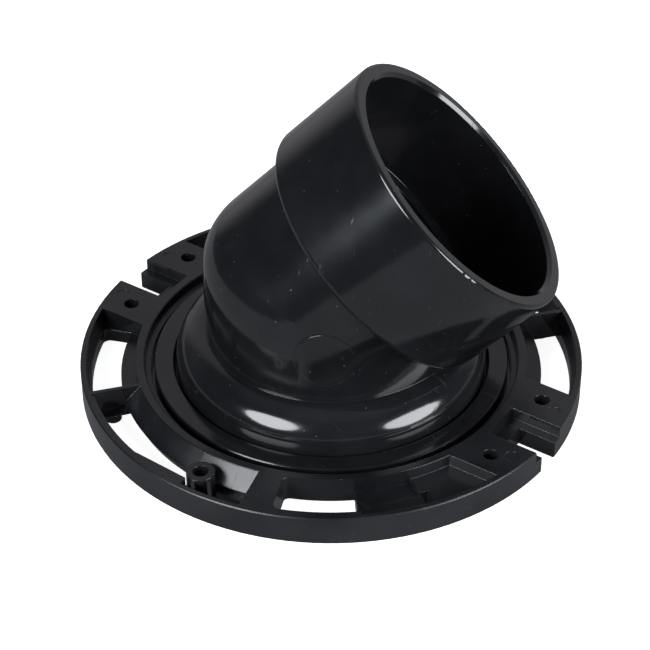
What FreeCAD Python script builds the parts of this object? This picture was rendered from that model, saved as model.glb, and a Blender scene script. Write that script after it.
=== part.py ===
import FreeCAD, Part
import math
import os
import Sketcher

# Offset toilet flange for a 3 inch drain: a one-piece 45 degree elbow body and the ring that swivels on it.
# It stands on the face that meets the toilet: Z = 0 is that face, +Z runs down the drain to the pipe hub,
# and the Z axis is the axis of the ring. +X runs along the two open bolt notches.

Vector = FreeCAD.Vector
Rotation = FreeCAD.Rotation
Placement = FreeCAD.Placement

doc = FreeCAD.newDocument("toilet_flange")
sheet = doc.addObject("Spreadsheet::Sheet", "sizes")

SIZES = (
    # ring, in plan
    ("ring_radius", 88.9),
    ("rim_inner", 86.9),
    ("slot_outer", 85.1),
    ("slot_inner", 74.8),
    ("shelf_outer", 76.9),
    ("wall_outer", 69.4),
    ("land_inner", 66.3),
    ("lip_radius", 64.0),
    ("recess_radius", 67.5),
    # ring, in height
    ("ring_height", 11.0),
    ("lip_under", 4.0),
    ("lip_top", 7.8),
    ("seat_depth", 1.5),
    ("seat_radius", 70.4),
    ("ledge_height", 5.0),
    ("notch_ledge", 6.6),
    ("floor_height", 3.0),
    ("edge_break", 0.4),
    ("gusset_foot", 75.0),
    # ring, fixings
    ("pad_half", 25.2),
    ("notch_wide", 16.0),
    ("notch_narrow", 9.0),
    ("screw_across", 17.35),
    ("screw_along", 76.05),
    ("screw_radius", 2.75),
    ("boss_place", 78.2),
    ("boss_radius", 4.9),
    ("web_thickness", 1.3),
    ("corner_round", 2.6),
    # body, flange and dome
    ("flange_radius", 67.0),
    ("flange_thickness", 3.5),
    ("collar_radius", 62.8),
    ("collar_inner", 55.8),
    ("collar_height", 9.5),
    ("dome_radius", 54.9),
    ("dome_round", 12.0),
    ("dome_height", 23.5),
    ("groove_floor", 5.5),
    ("mouth_radius", 49.8),
    ("bell_height", 10.0),
    # body, elbow and hub
    ("pipe_radius", 44.35),
    ("bore_radius", 38.95),
    ("bend_height", 40.3),
    ("bend_round", 23.0),
    ("bend_angle", 45.0),
    ("lean_turn", 31.1),
    ("hub_radius", 49.9),
    ("hub_start", 22.3),
    ("hub_end", 61.8),
    ("hub_round", 2.5),
    ("lip_round", 1.2),
    ("socket_radius", 44.45),
    ("socket_depth", 35.5),
    ("socket_lead", 1.2),
)

for row, (alias, size) in enumerate(SIZES, 1):
    sheet.set(f"A{row}", alias)
    sheet.set(f"B{row}", str(size))
    sheet.setAlias(f"B{row}", alias)
doc.recompute()


def cell(alias):
    return getattr(sheet, alias)


def value(expression):
    return float(sheet.evalExpression(str(expression)))


def place(name):
    return f"sizes.{name}"


def origin_plane(body, role):
    return next(feature for feature in body.Origin.OriginFeatures if feature.Role == role)


def closed_outline(sketch, points):
    """Draw a closed outline from (across, up) expressions. A third entry rounds the side that follows:
    it is the radius of a quarter arc that bulges away from the start of the sketch."""
    corners = [(value(point[0]), value(point[1])) for point in points]
    count = len(points)
    for index, point in enumerate(points):
        start = Vector(*corners[index], 0)
        end = Vector(*corners[(index + 1) % count], 0)
        if len(point) == 3:
            radius = value(point[2])
            middle = (start + end) * 0.5
            outward = Vector(end.y - start.y, start.x - end.x, 0).normalize()
            sagitta = radius - math.sqrt(radius ** 2 - (end - start).Length ** 2 / 4)
            sketch.addGeometry(Part.Arc(start, middle + outward * sagitta, end))
        else:
            sketch.addGeometry(Part.LineSegment(start, end))
    ends = []
    for index in range(count):
        curve = sketch.Geometry[index]
        begins = curve.StartPoint.distanceToPoint(Vector(*corners[index], 0)) < 1e-6
        ends.append((1, 2) if begins else (2, 1))
    for index in range(count):
        following = (index + 1) % count
        joint = (index, ends[index][1], following, ends[following][0])
        sketch.addConstraint(Sketcher.Constraint("Coincident", *joint))
    for index, point in enumerate(points):
        across, along = corners[index][:2]
        for axis, size, expression in (("X", across, point[0]), ("Y", along, point[1])):
            rule = Sketcher.Constraint("Distance" + axis, -1, 1, index, ends[index][0], size)
            number = sketch.addConstraint(rule)
            sketch.setExpression(f"Constraints[{number}]", str(expression))
        if len(point) == 3:
            number = sketch.addConstraint(Sketcher.Constraint("Radius", index, value(point[2])))
            sketch.setExpression(f"Constraints[{number}]", str(point[2]))


# ---------------------------------------------------------------------------
# Swivel ring: an injection-moulded ring, revolved, then opened by pockets that repeat half a turn apart.
# ---------------------------------------------------------------------------
ring = doc.addObject("PartDesign::Body", "ring")
ring.Label = "swivel_ring"
HALF_TURNS = (0, 180)
ABOVE = f"{place('ring_height')} + 1"
BELOW = "-1"


def upright_sketch(name, turn):
    """A sketch in the plane that holds the Z axis, turned about it by so many degrees."""
    sketch = ring.newObject("Sketcher::SketchObject", name)
    sketch.AttachmentSupport = [(origin_plane(ring, "XZ_Plane"), "")]
    sketch.MapMode = "FlatFace"
    sketch.AttachmentOffset = Placement(Vector(), Rotation(Vector(0, 1, 0), turn))
    return sketch


def level_sketch(name, turn, height):
    """A level sketch at a height, turned about the Z axis."""
    sketch = ring.newObject("Sketcher::SketchObject", name)
    sketch.AttachmentSupport = [(origin_plane(ring, "XY_Plane"), "")]
    sketch.MapMode = "FlatFace"
    sketch.AttachmentOffset = Placement(Vector(), Rotation(Vector(0, 0, 1), turn))
    sketch.setExpression("AttachmentOffset.Base.z", height)
    return sketch


def tip_volume():
    doc.recompute()
    return ring.Shape.Volume


section = upright_sketch("ring_section", 0)
edge = place("edge_break")
closed_outline(section, (
    (place("recess_radius"), place("seat_depth")),
    (place("seat_radius"), place("seat_depth")),
    (f"{place('seat_radius')} + {place('seat_depth')}", "0"),
    (f"{place('ring_radius')} - {edge}", "0"),
    (place("ring_radius"), edge),
    (place("ring_radius"), f"{place('ring_height')} - {edge}"),
    (f"{place('ring_radius')} - {edge}", place("ring_height")),
    (f"{place('land_inner')} + {edge}", place("ring_height")),
    (place("land_inner"), f"{place('ring_height')} - {edge}"),
    (f"{place('land_inner')} - {edge}", place("lip_top")),
    (place("lip_radius"), f"{place('lip_top')} - 0.2"),
    (place("lip_radius"), place("lip_under")),
    (place("recess_radius"), place("lip_under")),
))
blank = ring.newObject("PartDesign::Revolution", "ring_blank")
blank.Profile = section
blank.ReferenceAxis = (section, ["V_Axis"])
blank.Angle = 360


def sector_cut(name, start, end, points):
    """Sweep a section about the Z axis from one angle to another and take it out of the ring."""
    for turn in HALF_TURNS:
        before = tip_volume()
        sketch = upright_sketch(f"{name}_section_{turn}", start + turn)
        closed_outline(sketch, points)
        groove = ring.newObject("PartDesign::Groove", f"{name}_{turn}")
        groove.Profile = sketch
        groove.ReferenceAxis = (sketch, ["V_Axis"])
        groove.Angle = end - start
        if tip_volume() >= before - 1:
            raise RuntimeError(f"{name} took nothing out of the ring")


def block(inner, outer, low, high):
    return ((inner, low), (outer, low), (outer, high), (inner, high))


# angles in degrees from a notch, anticlockwise seen from above
PAD_SIDE = 14.0
SLOT_START = 19.7
FIRST_RIB = 49.1
SHELF_START = 50.2
CRESCENT_START = 51.0
BOSS_SIDE = 86.0
WEB_START = 103.5
KEYHOLE_START = 110.6
KEYHOLE_END = 130.2
SHELF_END = 146.2
SLOT_END = 148.5
LAST_PAD_SIDE = 166.0

wall = place("wall_outer")
rim = place("rim_inner")
narrow_in = place("slot_inner")
narrow_out = place("slot_outer")
ledge = place("ledge_height")
floor = place("floor_height")
foot = place("gusset_foot")
shoulder = f"{place('ring_height')} - 0.3"

channel = block(wall, rim, ledge, ABOVE)
narrow_slot = block(narrow_in, narrow_out, BELOW, f"{ledge} + 0.5")
sector_cut("long_channel", PAD_SIDE, FIRST_RIB, channel)
sector_cut("long_slot", SLOT_START, FIRST_RIB, narrow_slot)
shelf = ((wall, shoulder), (foot, ledge), (foot, floor), (rim, floor), (rim, ABOVE), (wall, ABOVE))
sector_cut("shelf_pocket", SHELF_START, CRESCENT_START, shelf)
sector_cut("boss_pocket", BOSS_SIDE, WEB_START, shelf)
crescent = (
    (wall, shoulder), (foot, ledge), (f"{foot} - 3", BELOW), (narrow_out, BELOW),
    (f"{narrow_out} + 0.9", ledge), (f"{narrow_out} + 0.9", ABOVE), (wall, ABOVE),
)
sector_cut("crescent_opening", CRESCENT_START, BOSS_SIDE, crescent)
sector_cut("keyhole", KEYHOLE_START, KEYHOLE_END, block(wall, f"{narrow_out} + 0.4", BELOW, ABOVE))
sector_cut("short_channel", KEYHOLE_END, SHELF_END, channel)
over_ledge = f"{place('notch_ledge')} + 1"
sector_cut("short_slot", KEYHOLE_END, SLOT_END, block(place("shelf_outer"), narrow_out, BELOW, over_ledge))
sector_cut("pad_pocket", SHELF_END, LAST_PAD_SIDE, block(wall, rim, place("notch_ledge"), ABOVE))


def pad_outline(sketch, half_width):
    """A pad between two sides parallel to the notch, closed by arcs that lie in the wall and in the rim."""
    inner, outer = value(f"{wall} - 1.4"), value(f"{rim} + 0.6")
    half = value(half_width)
    near, far = math.sqrt(inner ** 2 - half ** 2), math.sqrt(outer ** 2 - half ** 2)
    sketch.addGeometry(Part.LineSegment(Vector(near, -half, 0), Vector(far, -half, 0)))
    sketch.addGeometry(Part.Arc(Vector(far, -half, 0), Vector(outer, 0, 0), Vector(far, half, 0)))
    sketch.addGeometry(Part.LineSegment(Vector(far, half, 0), Vector(near, half, 0)))
    sketch.addGeometry(Part.Arc(Vector(near, -half, 0), Vector(inner, 0, 0), Vector(near, half, 0)))
    rules = (
        ("Coincident", 0, 2, 1, 1), ("Coincident", 1, 2, 2, 1), ("Coincident", 2, 2, 3, 2),
        ("Coincident", 3, 1, 0, 1), ("Coincident", 1, 3, -1, 1), ("Coincident", 3, 3, -1, 1),
        ("Horizontal", 0), ("Horizontal", 2),
    )
    for rule in rules:
        sketch.addConstraint(Sketcher.Constraint(*rule))
    sized = (
        (("Radius", 1, outer), f"{rim} + 0.6"),
        (("Radius", 3, inner), f"{wall} - 1.4"),
        (("DistanceY", -1, 1, 2, 1, half), half_width),
        (("DistanceY", 0, 1, -1, 1, half), half_width),
    )
    for rule, expression in sized:
        number = sketch.addConstraint(Sketcher.Constraint(*rule))
        sketch.setExpression(f"Constraints[{number}]", expression)


def added_pad(name, turn):
    sketch = level_sketch(f"{name}_outline_{turn}", turn, "0")
    pad_outline(sketch, place("pad_half"))
    pad = ring.newObject("PartDesign::Pad", f"{name}_{turn}")
    pad.Profile = sketch
    pad.setExpression("Length", place("ring_height"))


def straight_cut(name, turn, inner, width, height):
    """Open a straight-sided notch from one radius out through the rim, from a height up."""
    sketch = level_sketch(f"{name}_outline_{turn}", turn, height)
    beyond = f"{place('ring_radius')} + 4"
    right, left = f"-{width} / 2", f"{width} / 2"
    closed_outline(sketch, ((inner, right), (beyond, right), (beyond, left), (inner, left)))
    pocket = ring.newObject("PartDesign::Pocket", f"{name}_{turn}")
    pocket.Profile = sketch
    pocket.setExpression("Length", f"{place('ring_height')} + 2")
    pocket.Reversed = True


def round_feature(kind, name, turn, along, across, radius, low, length):
    """A round boss or hole that stands parallel to the Z axis, at a place given in the turned frame."""
    feature = ring.newObject("PartDesign::" + kind, name)
    feature.setExpression("Radius", radius)
    feature.setExpression("Height", length)
    spot = Rotation(Vector(0, 0, 1), turn).multVec(Vector(value(along), value(across), value(low)))
    feature.Placement = Placement(spot, Rotation())


for turn in HALF_TURNS:
    added_pad("pad", turn)
    before = tip_volume()
    straight_cut("notch_narrow_cut", turn, narrow_in, place("notch_narrow"), "-1")
    straight_cut("notch_wide_cut", turn, wall, place("notch_wide"), place("notch_ledge"))
    if tip_volume() >= before - 100:
        raise RuntimeError("the notch was not cut")

for turn in HALF_TURNS:
    # a half-round stop at the end of the shelf
    stop_turn = turn + CRESCENT_START
    round_feature("AdditiveCylinder", f"shelf_stop_{turn}", stop_turn, "80", "0.3", "3.1", "0", floor)
    # the rim runs straight, not round, from the middle of the crescent to the boss
    sketch = level_sketch(f"straight_rim_outline_{turn}", turn + 81, "0")
    closed_outline(sketch, ((85.2, -11.0), (87.2, -11.2), (88.2, 0), (87.2, 11.2), (83.0, 10.8)))
    straight_rim = ring.newObject("PartDesign::Pad", f"straight_rim_{turn}")
    straight_rim.Profile = sketch
    straight_rim.setExpression("Length", place("ring_height"))
    # the tubular screw boss, tied to the rim by two slanting webs
    boss_turn = turn + 90
    for side, across in (("near", 4.3), ("far", -2.6)):
        sketch = level_sketch(f"boss_web_{side}_{turn}_outline", boss_turn, "0")
        thick = value(place("web_thickness"))
        start = Vector(value(place("boss_place")) + 2.6, across, 0)
        reach = Vector(math.cos(math.radians(40)), math.sin(math.radians(40)), 0)
        aside = Vector(-reach.y, reach.x, 0) * thick
        ends = (start, start + reach * 7.4, start + reach * 7.4 + aside, start + aside)
        closed_outline(sketch, [(round(point.x, 3), round(point.y, 3)) for point in ends])
        web = ring.newObject("PartDesign::Pad", f"boss_web_{side}_{turn}")
        web.Profile = sketch
        web.setExpression("Length", f"{place('ring_height')} - 0.6")
    round_feature("AdditiveCylinder", f"boss_{turn}", boss_turn, place("boss_place"), "0",
                  place("boss_radius"), "0", place("ring_height"))
    round_feature("SubtractiveCylinder", f"boss_hole_{turn}", boss_turn, place("boss_place"), "0",
                  place("screw_radius"), "-1", f"{place('ring_height')} + 2")
    for side in (-1, 1):
        round_feature("SubtractiveCylinder", f"screw_hole_{turn}_{side + 1}", turn, place("screw_along"),
                      f"{side} * {place('screw_across')}", place("screw_radius"), "-1",
                      f"{place('ring_height')} + 2")
        # shallow ejector-pin witness on the pad
        round_feature("SubtractiveCylinder", f"pin_mark_{turn}_{side + 1}", turn, "82.3", f"{side} * 14.1",
                      "2.5", f"{place('ring_height')} - 0.15", "1")
doc.recompute()


def corner_edges(shape, corners):
    """The upright edges of a shape that stand at one of the given (radius, angle) corners."""
    found = []
    for number, item in enumerate(shape.Edges, 1):
        low, high = item.Vertexes[0].Point, item.Vertexes[-1].Point
        upright = abs(low.x - high.x) < 0.01 and abs(low.y - high.y) < 0.01
        for radius, angle in corners:
            spot = Rotation(Vector(0, 0, 1), angle).multVec(Vector(radius, 0, 0))
            if upright and math.hypot(low.x - spot.x, low.y - spot.y) < 0.3:
                found.append(f"Edge{number}")
    return found


# rounded corners at the pad end of the long slot and at the first end of the keyhole
corners = []
for turn in HALF_TURNS:
    corners.append((cell("slot_outer"), SLOT_START + turn))
    corners.append((cell("slot_outer") + 0.4, KEYHOLE_START + turn))
    corners.append((cell("wall_outer"), KEYHOLE_START + turn))
sharp = ring.Tip
rounded = ring.newObject("PartDesign::Fillet", "rounded_corners")
rounded.Base = (sharp, corner_edges(sharp.Shape, corners))
rounded.setExpression("Radius", place("corner_round"))
doc.recompute()

# ---------------------------------------------------------------------------
# Elbow body: flange, collar, dome, neck, 45 degree elbow and pipe hub in one moulding.
# ---------------------------------------------------------------------------


def revolved(name, points):
    """Revolve an (across, up) outline about the Z axis."""
    sketch = doc.addObject("Sketcher::SketchObject", name + "_section")
    sketch.Placement = Placement(Vector(), Rotation(Vector(1, 0, 0), 90))
    closed_outline(sketch, points)
    solid = doc.addObject("Part::Revolution", name)
    solid.Source = sketch
    solid.Axis = (0, 0, 1)
    solid.Angle = 360
    solid.Solid = True
    return solid


dome_side = f"{place('dome_height')} - {place('dome_round')}"
shell = revolved("flange_and_dome", (
    ("0", "0"),
    (f"{place('flange_radius')} - {edge}", "0"),
    (place("flange_radius"), edge),
    (place("flange_radius"), f"{place('flange_thickness')} - {edge}"),
    (f"{place('flange_radius')} - {edge}", place("flange_thickness")),
    (place("collar_radius"), place("flange_thickness")),
    (place("collar_radius"), f"{place('collar_height')} - {edge}"),
    (f"{place('collar_radius')} - {edge}", place("collar_height")),
    (f"{place('collar_inner')} + {edge}", place("collar_height")),
    (place("collar_inner"), f"{place('collar_height')} - {edge}"),
    (f"{place('collar_inner')} - 0.6", place("groove_floor")),
    (place("dome_radius"), place("groove_floor")),
    (place("dome_radius"), dome_side, place("dome_round")),
    (f"{place('dome_radius')} - {place('dome_round')}", place("dome_height")),
    ("0", place("dome_height")),
))

bell = revolved("closet_mouth", (
    ("0", "-20"),
    (f"{place('mouth_radius')} + 0.6", "-20"),
    (f"{place('mouth_radius')} + 0.6", "0"),
    (place("mouth_radius"), "0.6"),
    (place("mouth_radius"), place("bell_height"), f"{place('mouth_radius')} - {place('bore_radius')}"),
    (place("bore_radius"), f"{place('bell_height')} + {place('mouth_radius')} - {place('bore_radius')}"),
    ("0", f"{place('bell_height')} + {place('mouth_radius')} - {place('bore_radius')}"),
))

lean = Rotation(Vector(0, 0, 1), cell("lean_turn"))
bend_turn = math.radians(cell("bend_angle"))
lean_axis = lean.multVec(Vector(math.sin(bend_turn), 0, math.cos(bend_turn)))
bend_point = Vector(0, 0, cell("bend_height"))


def constrain(sketch, expression, kind, *parts):
    """Add one sized constraint and tie it to an expression."""
    number = sketch.addConstraint(Sketcher.Constraint(kind, *parts, value(expression)))
    sketch.setExpression(f"Constraints[{number}]", expression)


def mitred_pipe(name, radius, start, reach):
    """A pipe that turns through the elbow. Its section stays parallel to the mitre plane, so that both legs
    are round pipes of one radius, and the mitre is rounded by the same arc all the way round."""
    body = doc.addObject("PartDesign::Body", name)
    path = body.newObject("Sketcher::SketchObject", name + "_path")
    path.AttachmentSupport = [(origin_plane(body, "XZ_Plane"), "")]
    path.MapMode = "FlatFace"
    path.AttachmentOffset = Placement(Vector(), Rotation(Vector(0, 1, 0), cell("lean_turn")))
    turn = math.radians(cell("bend_angle"))
    bend = cell("bend_round")
    low = cell("bend_height") - bend * math.tan(turn / 2)
    leaving = Vector(bend - bend * math.cos(turn), low + bend * math.sin(turn), 0)
    run = Vector(math.sin(turn), math.cos(turn), 0) * 30
    path.addGeometry(Part.LineSegment(Vector(0, value(start), 0), Vector(0, low, 0)))
    circle = Part.Circle(Vector(bend, low, 0), Vector(0, 0, 1), bend)
    path.addGeometry(Part.ArcOfCircle(circle, math.pi - turn, math.pi))
    path.addGeometry(Part.LineSegment(leaving, leaving + run))
    path.addConstraint(Sketcher.Constraint("PointOnObject", 0, 1, -2))
    path.addConstraint(Sketcher.Constraint("Vertical", 0))
    path.addConstraint(Sketcher.Constraint("Tangent", 0, 2, 1, 2))
    path.addConstraint(Sketcher.Constraint("Tangent", 1, 1, 2, 1))
    height = place("bend_height")
    constrain(path, start, "DistanceY", -1, 1, 0, 1)
    elbow_foot = f"{height} - {place('bend_round')} * tan({place('bend_angle')} * 0.5 deg)"
    constrain(path, elbow_foot, "DistanceY", -1, 1, 0, 2)
    constrain(path, place("bend_round"), "Radius", 1)
    constrain(path, f"{height} + ({reach}) * cos({place('bend_angle')} * 1 deg)", "DistanceY", -1, 1, 2, 2)
    number = path.addConstraint(Sketcher.Constraint("Angle", 2, math.pi / 2 - turn))
    path.setExpression(f"Constraints[{number}]", f"90 deg - {place('bend_angle')} * 1 deg")

    profile = body.newObject("Sketcher::SketchObject", name + "_profile")
    profile.AttachmentSupport = [(origin_plane(body, "XY_Plane"), "")]
    profile.MapMode = "FlatFace"
    tilt = lean.multiply(Rotation(Vector(0, 1, 0), cell("bend_angle") / 2))
    profile.AttachmentOffset = Placement(Vector(0, 0, value(start)), tilt)
    long_radius = f"{radius} / cos({place('bend_angle')} * 0.5 deg)"
    profile.addGeometry(Part.Ellipse(Vector(), value(long_radius), value(radius)))
    profile.exposeInternalGeometry(0)
    profile.addConstraint(Sketcher.Constraint("Coincident", 0, 3, -1, 1))
    profile.addConstraint(Sketcher.Constraint("Horizontal", 1))
    constrain(profile, f"2 * {long_radius}", "Distance", 1)
    constrain(profile, f"2 * {radius}", "Distance", 2)
    pipe = body.newObject("PartDesign::AdditivePipe", name + "_sweep")
    pipe.Profile = profile
    pipe.Spine = (path, ["Edge1", "Edge2", "Edge3"])
    pipe.Mode = "Fixed"
    pipe.Transition = "Transformed"
    return body


def leaning_cylinder(name, radius, start, length):
    """A cylinder on the leaning axis, measured from the point where the two axes meet."""
    solid = doc.addObject("Part::Cylinder", name)
    solid.setExpression("Radius", radius)
    solid.setExpression("Height", length)
    spot = bend_point + lean_axis * value(start)
    solid.Placement = Placement(spot, lean.multiply(Rotation(Vector(0, 1, 0), cell("bend_angle"))))
    return solid


outer_pipe = mitred_pipe("elbow_outside", place("pipe_radius"), "4.5", f"{place('hub_start')} + 19.7")
inner_pipe = mitred_pipe("elbow_bore", place("bore_radius"), "-12", f"{place('hub_start')} + 30")
hub = leaning_cylinder("hub_outside", place("hub_radius"), place("hub_start"),
                       f"{place('hub_end')} - {place('hub_start')}")
doc.recompute()
rounded_hub = doc.addObject("Part::Fillet", "hub_rounded")
rounded_hub.Base = hub
rims = []
for number, rim_edge in enumerate(hub.Shape.Edges, 1):
    if rim_edge.isClosed():
        along = (rim_edge.CenterOfMass - bend_point).dot(lean_axis)
        radius = cell("hub_round") if along < cell("hub_start") + 1 else cell("lip_round")
        rims.append((number, radius, radius))
rounded_hub.Edges = rims

socket_floor = f"{place('hub_end')} - {place('socket_depth')}"
socket_reach = f"{place('socket_depth')} + 2"
socket = leaning_cylinder("hub_socket", place("socket_radius"), socket_floor, socket_reach)
lead_in = doc.addObject("Part::Cone", "hub_lead_in")
lead_in.setExpression("Radius1", place("socket_radius"))
lead_in.setExpression("Radius2", f"{place('socket_radius')} + 2 * {place('socket_lead')}")
lead_in.setExpression("Height", f"2 * {place('socket_lead')}")
lead_in.Placement = Placement(bend_point + lean_axis * value(f"{place('hub_end')} - {place('socket_lead')}"),
                              lean.multiply(Rotation(Vector(0, 1, 0), cell("bend_angle"))))

solid_body = doc.addObject("Part::MultiFuse", "body_solid")
solid_body.Shapes = [shell, outer_pipe, rounded_hub]
hollow = doc.addObject("Part::MultiFuse", "body_hollow")
hollow.Shapes = [bell, inner_pipe, socket, lead_in]
elbow = doc.addObject("Part::Cut", "elbow")
elbow.Base = solid_body
elbow.Tool = hollow
elbow.Label = "elbow_body"
doc.recompute()

# ---------------------------------------------------------------------------
# Checks and output
# ---------------------------------------------------------------------------
for item in doc.Objects:
    if "Invalid" in item.State or "Error" in item.State:
        raise RuntimeError(f"{item.Name} did not rebuild: {item.State}")

os.makedirs("parts", exist_ok=True)
for item in (ring, elbow):
    shape = item.Shape
    if shape.isNull() or not shape.isValid() or len(shape.Solids) != 1:
        raise RuntimeError(f"{item.Label} is not one valid solid")
    shape.exportStep(f"parts/{item.Label}.step")
    box = shape.BoundBox
    print(f"{item.Label}: {len(shape.Faces)} faces, {shape.Volume / 1000:.1f} cm3")
    print(f"    {box.XLength:.1f} x {box.YLength:.1f} x {box.ZLength:.1f} mm")
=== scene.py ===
import bpy
import math
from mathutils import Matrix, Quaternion, Vector

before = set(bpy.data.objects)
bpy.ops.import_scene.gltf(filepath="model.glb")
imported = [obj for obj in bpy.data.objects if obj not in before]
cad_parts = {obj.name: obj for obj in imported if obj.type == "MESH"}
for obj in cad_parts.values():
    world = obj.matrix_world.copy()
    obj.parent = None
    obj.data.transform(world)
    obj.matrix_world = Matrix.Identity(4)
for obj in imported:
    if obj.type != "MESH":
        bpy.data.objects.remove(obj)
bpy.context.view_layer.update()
scene = bpy.context.scene

# The view: from the front right of the flange and well above it, with a long lens.
# The flange stands on the face that meets the toilet, with its ribbed side and its pipe hub up.
VIEW_DIRECTION = Vector((-0.44402, 0.65829, -0.60786))
AIM = Vector((-0.01817, 0.02313, 0.0))
VIEW_DISTANCE = 0.84455
VIEW_ROLL = -0.00333
camera_data = bpy.data.cameras.new("camera")
camera_data.lens = 126.92
camera_data.sensor_width = 36
camera_data.clip_start = 0.05
camera = bpy.data.objects.new("camera", camera_data)
camera.location = AIM - VIEW_DIRECTION.normalized() * VIEW_DISTANCE
level = VIEW_DIRECTION.to_track_quat("-Z", "Y")
camera.rotation_mode = "QUATERNION"
camera.rotation_quaternion = level @ Quaternion((0, 0, 1), VIEW_ROLL)
scene.collection.objects.link(camera)
scene.camera = camera
scene.view_settings.view_transform = "Standard"
scene.view_settings.look = "None"

# The floor: a square table top with a matt white finish, which the flange stands on.
# It shows white to the camera, and is dimmer to the rays that the flange's gloss sends back to it.
FLOOR_HALF = 0.48
FLOOR_DROP = 0.0001
FLOOR_SEEN = (0.80, 0.80, 0.80, 1)
FLOOR_REFLECTED = (0.22, 0.22, 0.23, 1)
FLOOR_GLOW_SEEN = (0.90, 0.90, 0.90, 1)
FLOOR_GLOW_REFLECTED = (0.08, 0.08, 0.08, 1)


class Wire:
    """A shader socket that can stand in a sum. node() adds any other node to the same tree."""

    def __init__(self, tree, socket=None):
        self.tree = tree
        self.socket = socket

    def node(self, kind, settings=(), inputs=(), output=0):
        """Add a node: its type, its settings, the values or links of its sockets, and the output to take."""
        made = self.tree.nodes.new(kind)
        for name, value in dict(settings).items():
            setattr(made, name, value)
        for name, value in dict(inputs).items():
            if isinstance(value, Wire):
                self.tree.links.new(value.socket, made.inputs[name])
            else:
                made.inputs[name].default_value = value
        return Wire(self.tree, made.outputs[output])

    def feed(self, shader, name):
        """Join this wire to a shader's socket."""
        self.tree.links.new(self.socket, shader.inputs[name])

    def sum(self, operation, first, second):
        return self.node("ShaderNodeMath", {"operation": operation}, {0: first, 1: second})

    def __add__(self, other):
        return self.sum("ADD", self, other)

    def __radd__(self, other):
        return self.sum("ADD", other, self)

    def __sub__(self, other):
        return self.sum("SUBTRACT", self, other)

    def __rsub__(self, other):
        return self.sum("SUBTRACT", other, self)

    def __mul__(self, other):
        return self.sum("MULTIPLY", self, other)

    def __rmul__(self, other):
        return self.sum("MULTIPLY", other, self)

    def __abs__(self):
        return self.node("ShaderNodeMath", {"operation": "ABSOLUTE"}, {0: self})

    def ramp(self, start, end):
        """Rise smoothly from 0 to 1 as this value goes from start to end."""
        smooth = {"interpolation_type": "SMOOTHSTEP"}
        return self.node("ShaderNodeMapRange", smooth, {0: self, 1: start, 2: end})

    def blend(self, low, high):
        """Mix two colours by this value."""
        return self.node("ShaderNodeMix", {"data_type": "RGBA"}, {0: self, 6: low, 7: high}, 2)

    def noise(self, scale, detail, roughness):
        """Noise over a vector; scale is in turns per metre."""
        return self.node("ShaderNodeTexNoise", {}, {"Vector": self, "Scale": scale, "Detail": detail,
                                                   "Roughness": roughness})

    def stretch(self, scale, turn=(0, 0, 0)):
        """Turn a vector, then scale it."""
        return self.node("ShaderNodeMapping", {"vector_type": "POINT"},
                         {"Vector": self, "Rotation": turn, "Scale": scale})

    def measure(self, operation, other=(0, 0, 0)):
        """Vector maths that ends in a number: a dot product, a distance or a length."""
        return self.node("ShaderNodeVectorMath", {"operation": operation}, {0: self, 1: other}, "Value")

    def part(self, axis):
        """One of the three parts of a vector or colour."""
        return self.node("ShaderNodeSeparateXYZ", {}, {0: self}, axis)


floor_corners = [(x * FLOOR_HALF, y * FLOOR_HALF, 0) for x, y in ((-1, -1), (1, -1), (1, 1), (-1, 1))]
floor_mesh = bpy.data.meshes.new("floor")
floor_mesh.from_pydata(floor_corners, [], [(0, 1, 2, 3)])
floor = bpy.data.objects.new("floor", floor_mesh)
floor.location.z = -FLOOR_DROP
scene.collection.objects.link(floor)
floor_paint = bpy.data.materials.new("white_floor")
floor_paint.use_nodes = True
floor_shader = floor_paint.node_tree.nodes["Principled BSDF"]
floor_shader.inputs["Roughness"].default_value = 0.9
floor_shader.inputs["Specular IOR Level"].default_value = 0.0
floor_shader.inputs["Emission Strength"].default_value = 1.0
floor_seen = Wire(floor_paint.node_tree).node("ShaderNodeLightPath", output="Is Camera Ray")
floor_seen.blend(FLOOR_REFLECTED, FLOOR_SEEN).feed(floor_shader, "Base Color")
floor_seen.blend(FLOOR_GLOW_REFLECTED, FLOOR_GLOW_SEEN).feed(floor_shader, "Emission Color")
floor_mesh.materials.append(floor_paint)

# The room and its lights: dark walls that are light grey behind the flange, a dim ceiling, and two oval
# soft boxes, at the left front and at the right, with a bluish glow round each on the wall.
LEFT_BOX = (260, 28)
RIGHT_BOX = (2, 16.5)
LIGHT_SIDE = (115, 15)
BOX_DISTANCE = 3.0
BOX_AIM_HEIGHT = 0.02
BOX_COLOUR = (0.96, 0.98, 1.0)
DARK_WALL = (0.055, 0.057, 0.065, 1)
LIGHT_WALL = (0.37, 0.37, 0.39, 1)
LEFT_GLOW = (0.30, 0.47, 0.66, 1)
RIGHT_GLOW = (0.26, 0.40, 0.56, 1)
CEILING = (0.17, 0.18, 0.20, 1)
WHITE = (1, 1, 1, 1)


def toward(azimuth, elevation):
    """The direction that looks out at an azimuth and an elevation, in degrees."""
    turn, rise = math.radians(azimuth), math.radians(elevation)
    return Vector((math.cos(turn) * math.cos(rise), math.sin(turn) * math.cos(rise), math.sin(rise)))


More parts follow.
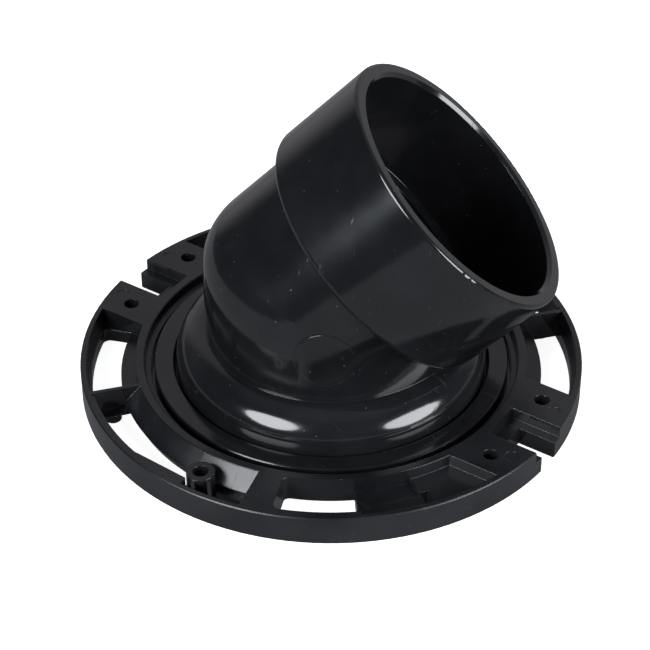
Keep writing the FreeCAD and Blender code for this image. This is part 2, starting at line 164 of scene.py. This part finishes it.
room = bpy.data.worlds.new("room")
room.use_nodes = True
scene.world = room
outward = Wire(room.node_tree).node("ShaderNodeTexCoord", output="Generated")
behind = outward.measure("DOT_PRODUCT", toward(*LIGHT_SIDE)).ramp(0.52, 0.74)
room_colour = behind.blend(DARK_WALL, LIGHT_WALL)
for box, glow in ((LEFT_BOX, LEFT_GLOW), (RIGHT_BOX, RIGHT_GLOW)):
    beside = outward.measure("DOT_PRODUCT", toward(*box)).ramp(0.90, 0.99)
    room_colour = beside.blend(room_colour, glow)
room_colour = outward.part(2).ramp(0.74, 0.92).blend(room_colour, CEILING)
room_seen = outward.node("ShaderNodeLightPath", output="Is Camera Ray")
room_seen.blend(room_colour, WHITE).feed(room.node_tree.nodes["Background"], "Color")


def soft_box(name, azimuth, elevation, width, depth, roll, brightness):
    """An oval soft box that faces the flange, rolled about its own axis; brightness is its radiance."""
    data = bpy.data.lights.new(name, "AREA")
    data.shape = "ELLIPSE"
    data.size = width
    data.size_y = depth
    data.energy = brightness * math.pi * (math.pi / 4 * width * depth)
    data.color = BOX_COLOUR
    lamp = bpy.data.objects.new(name, data)
    away = toward(azimuth, elevation)
    lamp.location = Vector((0, 0, BOX_AIM_HEIGHT)) + away * BOX_DISTANCE
    lamp.rotation_mode = "QUATERNION"
    lamp.rotation_quaternion = (-away).to_track_quat("-Z", "Y") @ Quaternion((0, 0, 1), math.radians(roll))
    scene.collection.objects.link(lamp)


soft_box("left_soft_box", *LEFT_BOX, width=2.05, depth=1.75, roll=-30, brightness=13.0)
soft_box("right_soft_box", *RIGHT_BOX, width=2.30, depth=1.75, roll=0, brightness=12.0)

# Swivel ring: satin black ABS, injection moulded and ejected from its ribbed side.
# It snaps over the rim of the body and turns on it, and screws hold it to the floor.
# The walls inside its openings come off polished steel, so they are glossier than its faces.
RING_BLACK = (0.0058, 0.0060, 0.0075, 1)
RING_DUSTY = (0.014, 0.014, 0.016, 1)
RING_GLOSS = 0.26
POLISHED_WALLS = 0.20
DUST_GREY = (0.075, 0.075, 0.075, 1)
SCRATCH_GREY = (0.022, 0.022, 0.024, 1)
PLASTIC_IOR = 1.53
SOFT_EDGE = 0.0004
RIM_INSIDE = (0.0858, 0.0852)
DUST_CELLS = 310
MILLIMETRE = 0.001


def moulded_plastic(name, black, dusty, gloss):
    """Start a moulded plastic: clouds of dull film, specks of dust, and fine scratches in two directions.
    Gives its material, its shader, the place on the part, its roughness, and its relief in millimetres."""
    material = bpy.data.materials.new(name)
    material.use_nodes = True
    shader = material.node_tree.nodes["Principled BSDF"]
    shader.inputs["IOR"].default_value = PLASTIC_IOR
    place = Wire(material.node_tree).node("ShaderNodeTexCoord", output="Object")
    clouds = place.noise(38, 3, 0.55).ramp(0.35, 0.75)
    cells = {"Vector": place, "Scale": DUST_CELLS}
    from_speck = place.node("ShaderNodeTexVoronoi", {"feature": "F1"}, cells, "Distance")
    lot = place.node("ShaderNodeTexVoronoi", {"feature": "F1"}, cells, "Color").part(0)
    dust = from_speck.ramp(0.08, 0.04) * lot.ramp(0.70, 0.74)
    marks = place.stretch((9, 620, 200), (0.4, 0.2, 0.7)).noise(1.0, 2, 0.6).ramp(0.69, 0.73)
    scuffs = place.stretch((560, 12, 170), (0.9, 0.1, 0.3)).noise(1.0, 2, 0.6).ramp(0.70, 0.74)
    scratches = marks + scuffs
    tint = (clouds * 0.7).blend(black, dusty)
    tint = (scratches * 0.5).blend(tint, SCRATCH_GREY)
    dust.blend(tint, DUST_GREY).feed(shader, "Base Color")
    rough = clouds * (0.25 * gloss) + dust * 0.3 + scratches * 0.06 + gloss
    surface_wave = place.noise(52, 1, 0.4) * 0.045
    grain = place.noise(800, 2, 0.6) * 0.0022
    relief = surface_wave + grain + dust * 0.02 - scratches * 0.008
    return material, shader, place, rough, relief


def finish_plastic(material, shader, rough, relief):
    """Join the roughness and the relief, over edges that are softly rounded."""
    rough.feed(shader, "Roughness")
    soft_edges = rough.node("ShaderNodeBevel", {"samples": 6}, {"Radius": SOFT_EDGE})
    bump = {"Strength": 1.0, "Distance": MILLIMETRE, "Height": relief, "Normal": soft_edges}
    rough.node("ShaderNodeBump", {}, bump).feed(shader, "Normal")
    return material


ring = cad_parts["swivel_ring"]
paint, shader, place, rough, relief = moulded_plastic("satin_black_ring", RING_BLACK, RING_DUSTY, RING_GLOSS)
upright = abs(place.node("ShaderNodeTexCoord", output="Normal").part(2)).ramp(0.35, 0.15)
inside_rim = place.stretch((1, 1, 0)).measure("LENGTH").ramp(*RIM_INSIDE)
rough = rough - upright * inside_rim * POLISHED_WALLS
ring.data.materials.clear()
ring.data.materials.append(finish_plastic(paint, shader, rough, relief))

# Elbow body: glossy black ABS, one moulding from the flange to the pipe hub.
# Its flange is trapped in the ring, and the drain pipe is cemented into the hub.
# The round mark of a mould insert stands on each side of the elbow, over the turn of its axis.
BODY_BLACK = (0.0056, 0.0058, 0.0066, 1)
BODY_DUSTY = (0.0120, 0.0120, 0.0135, 1)
BODY_GLOSS = 0.105
HUB_LEAN_AZIMUTH = 31.1
ELBOW_RADIUS = 0.04435
INSERT_HEIGHT = Vector((0, 0, 0.0412))
INSERT_RADIUS = 0.0103
INSERT_LINE = (0.00036, 0.00010)
INSERT_DEPTH = 0.07
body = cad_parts["elbow_body"]
paint, shader, place, rough, relief = moulded_plastic("glossy_black_body", BODY_BLACK, BODY_DUSTY, BODY_GLOSS)
for side in (-90, 90):
    centre = toward(HUB_LEAN_AZIMUTH + side, 0) * ELBOW_RADIUS + INSERT_HEIGHT
    off_the_line = abs(place.measure("DISTANCE", centre) - INSERT_RADIUS)
    relief = relief - off_the_line.ramp(*INSERT_LINE) * INSERT_DEPTH
body.data.materials.clear()
body.data.materials.append(finish_plastic(paint, shader, rough, relief))
